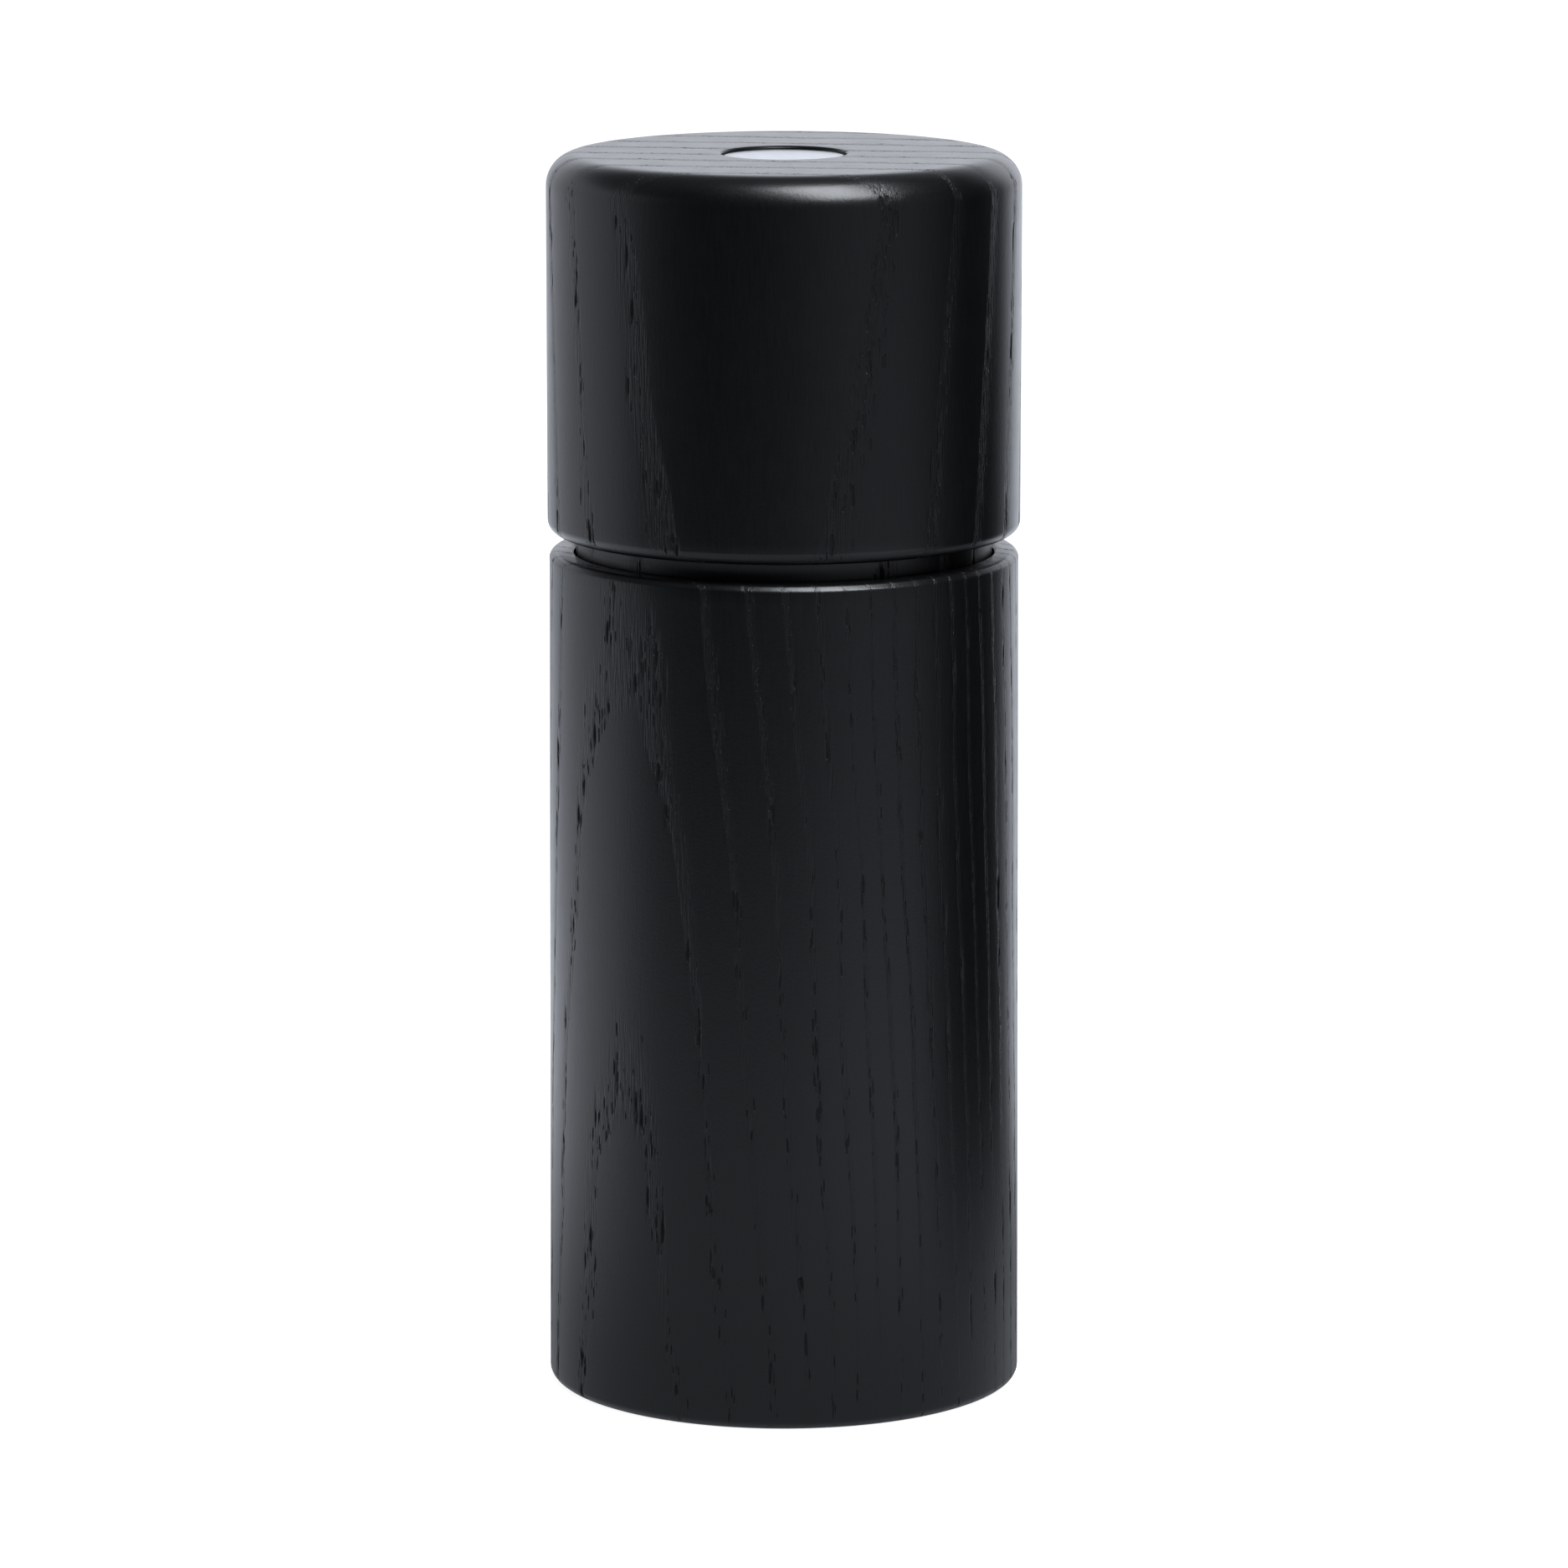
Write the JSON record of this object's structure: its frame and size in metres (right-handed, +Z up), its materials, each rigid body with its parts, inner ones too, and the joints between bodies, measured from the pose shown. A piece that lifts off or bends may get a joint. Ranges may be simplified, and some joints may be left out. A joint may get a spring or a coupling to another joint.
{
  "type": "pepper mill",
  "caption": "Black-stained wooden pepper mill, a plain cylinder whose head turns and lifts off, with a ceramic grinder and a fineness knob under the base.",
  "frame": {"origin": "centre of the flat wooden foot, on the surface the mill stands on", "axes": "+Z up along the mill's axis; X and Y across it, with the first housing screw towards +X"},
  "size_m": [0.0604, 0.0604, 0.158],
  "materials": {
    "stained_wood": "black-stained open-grain ash, satin oil",
    "disc_steel": "finely spun, bright",
    "black_plastic": "moulded, fine matt",
    "grey_plastic": "moulded, satin",
    "ceramic": "unglazed, fine",
    "aluminium": "drawn, satin",
    "steel": "bright spring steel",
    "adhesive": "soft foam tape"
  },
  "bodies": {
    "mill_body": {"body_shell": "stained_wood", "mechanism_housing": "black_plastic", "stator_ring": "ceramic", "stator_retainer": "grey_plastic", "housing_screw_1": "steel", "housing_screw_2": "steel", "housing_screw_3": "steel"},
    "drive_train": {"drive_shaft": "aluminium", "shaft_sleeve": "grey_plastic", "sleeve_clip": "steel", "spring_washer": "steel", "rotor_spring": "steel", "stem_clip": "steel"},
    "cone_carriage": {"rotor_carrier": "grey_plastic", "rotor_cone": "ceramic", "click_washer": "steel"},
    "adjuster": {"adjuster_knob": "black_plastic"},
    "head": {"head_shell": "stained_wood", "top_disc": "disc_steel", "disc_adhesive": "adhesive", "drive_socket": "black_plastic", "collet_ring": "steel", "socket_screw_1": "steel", "socket_screw_2": "steel", "socket_screw_3": "steel"}
  },
  "joints": [
    {"name": "grind_turn", "type": "hinge", "parent": "mill_body", "child": "drive_train", "pos_m": [0, 0, 0.1], "axis": [0, 0, 1], "continuous": true},
    {"name": "head_lift", "type": "slide", "parent": "drive_train", "child": "head", "axis": [0, 0, 1], "range_m": [0, 0.06]},
    {"name": "cone_lift", "type": "slide", "parent": "drive_train", "child": "cone_carriage", "axis": [0, 0, 1], "range_m": [-0.0005, 0.0005], "deforming": ["rotor_spring"]},
    {"name": "knob_turn", "type": "hinge", "parent": "cone_carriage", "child": "adjuster", "pos_m": [0, 0, 0.005], "axis": [0, 0, 1], "range_deg": [-225, 225]}
  ],
  "couplings": [
    {"joint": "knob_turn", "follows": "cone_lift", "rad_per_m": 7854}
  ]
}
